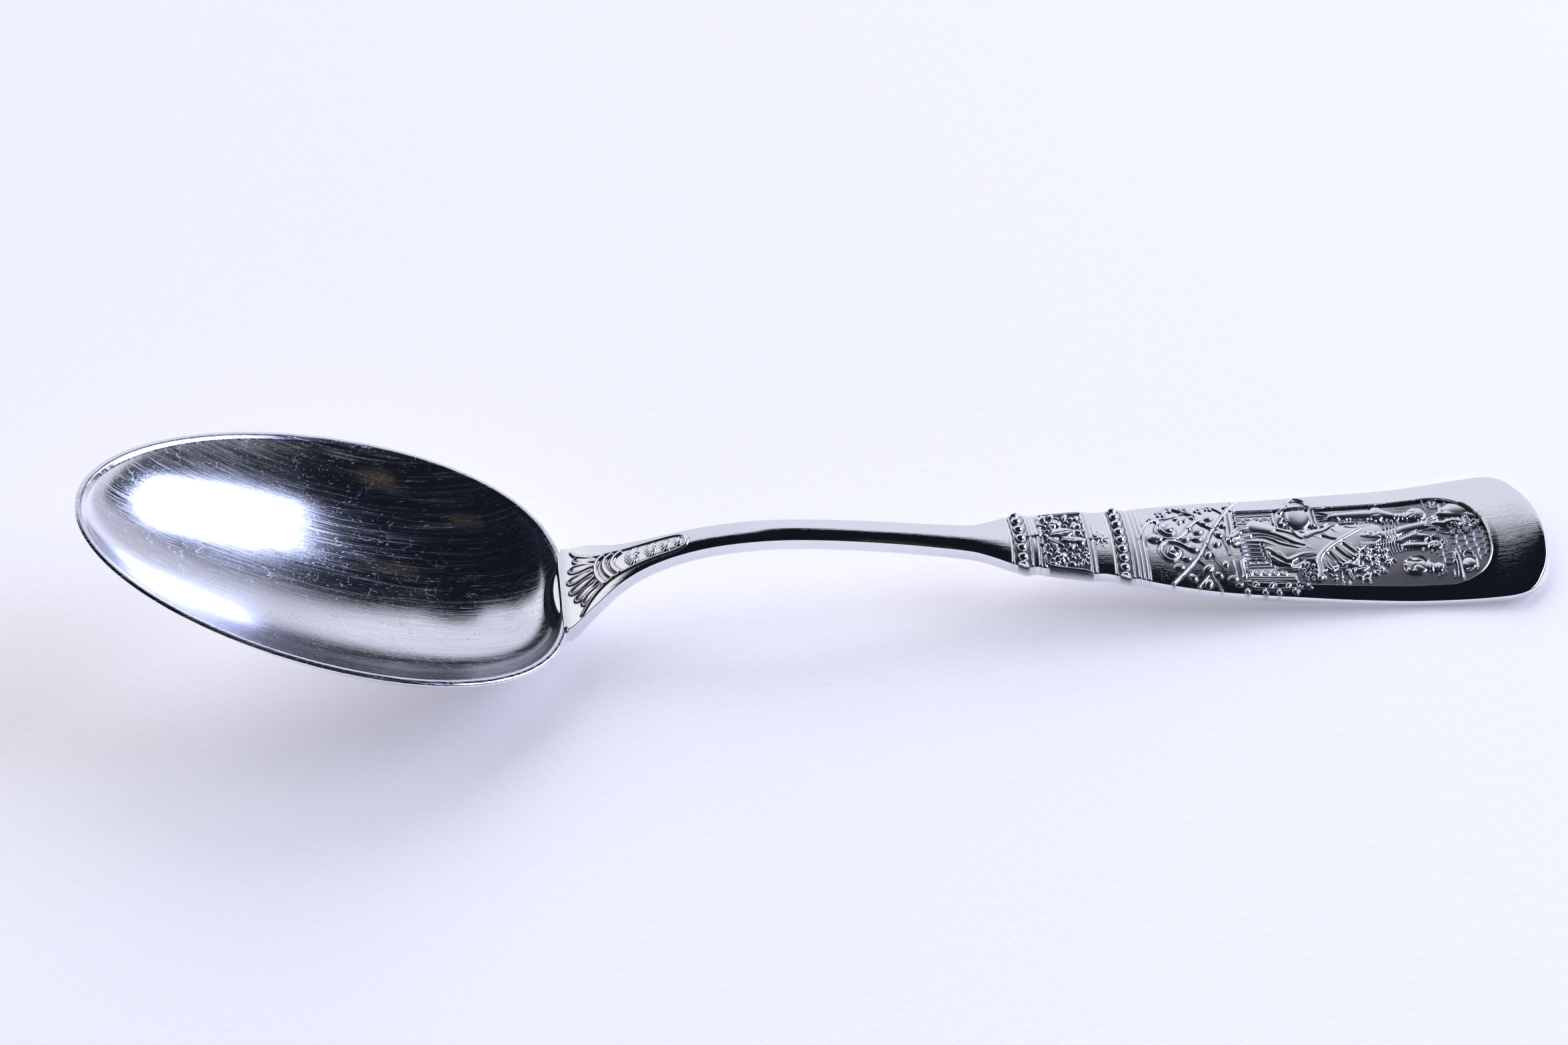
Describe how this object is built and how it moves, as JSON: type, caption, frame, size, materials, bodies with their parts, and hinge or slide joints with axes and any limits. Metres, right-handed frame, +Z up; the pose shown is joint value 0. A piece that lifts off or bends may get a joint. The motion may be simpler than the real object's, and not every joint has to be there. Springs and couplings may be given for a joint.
{
  "type": "souvenir serving spoon",
  "caption": "Long-handled metal serving spoon with an oval bowl, a slim arched stem, bead bands and a round-ended handle plate struck with a garden scene in relief.",
  "frame": {"origin": "on the table, under the middle of the overall length and width", "axes": "+X runs along the spoon from the bowl to the handle end, +Y is across it, +Z is up from the table it rests on"},
  "size_m": [0.2152, 0.0464, 0.033],
  "materials": {
    "polished_silver": "polished silver with fine scratches",
    "relief_silver": "polished relief with dark tarnish in its hollows",
    "tarnished_silver": "satin, darkened silver"
  },
  "bodies": {
    "root": {"bowl": "polished_silver", "neck": "polished_silver", "neck_border": "relief_silver", "neck_palmette": "relief_silver", "neck_ribs": "relief_silver", "neck_rosettes": "relief_silver", "stem": "polished_silver", "lower_band": "polished_silver", "lower_beads": "relief_silver", "cartouche": "polished_silver", "cartouche_foliage": "relief_silver", "waist": "polished_silver", "upper_band": "polished_silver", "upper_beads": "relief_silver", "handle_plate": "polished_silver", "panel_border": "polished_silver", "volutes": "relief_silver", "branches": "relief_silver", "buds": "relief_silver", "ivy": "relief_silver", "pedestal": "tarnished_silver", "urn": "relief_silver", "gown": "polished_silver", "bodice": "polished_silver", "head": "relief_silver", "hat": "polished_silver", "posy": "relief_silver", "bench": "tarnished_silver", "shelf": "tarnished_silver", "jug": "relief_silver", "cobbles": "tarnished_silver", "hanging_vine": "relief_silver", "plants": "relief_silver"}
  },
  "joints": []
}
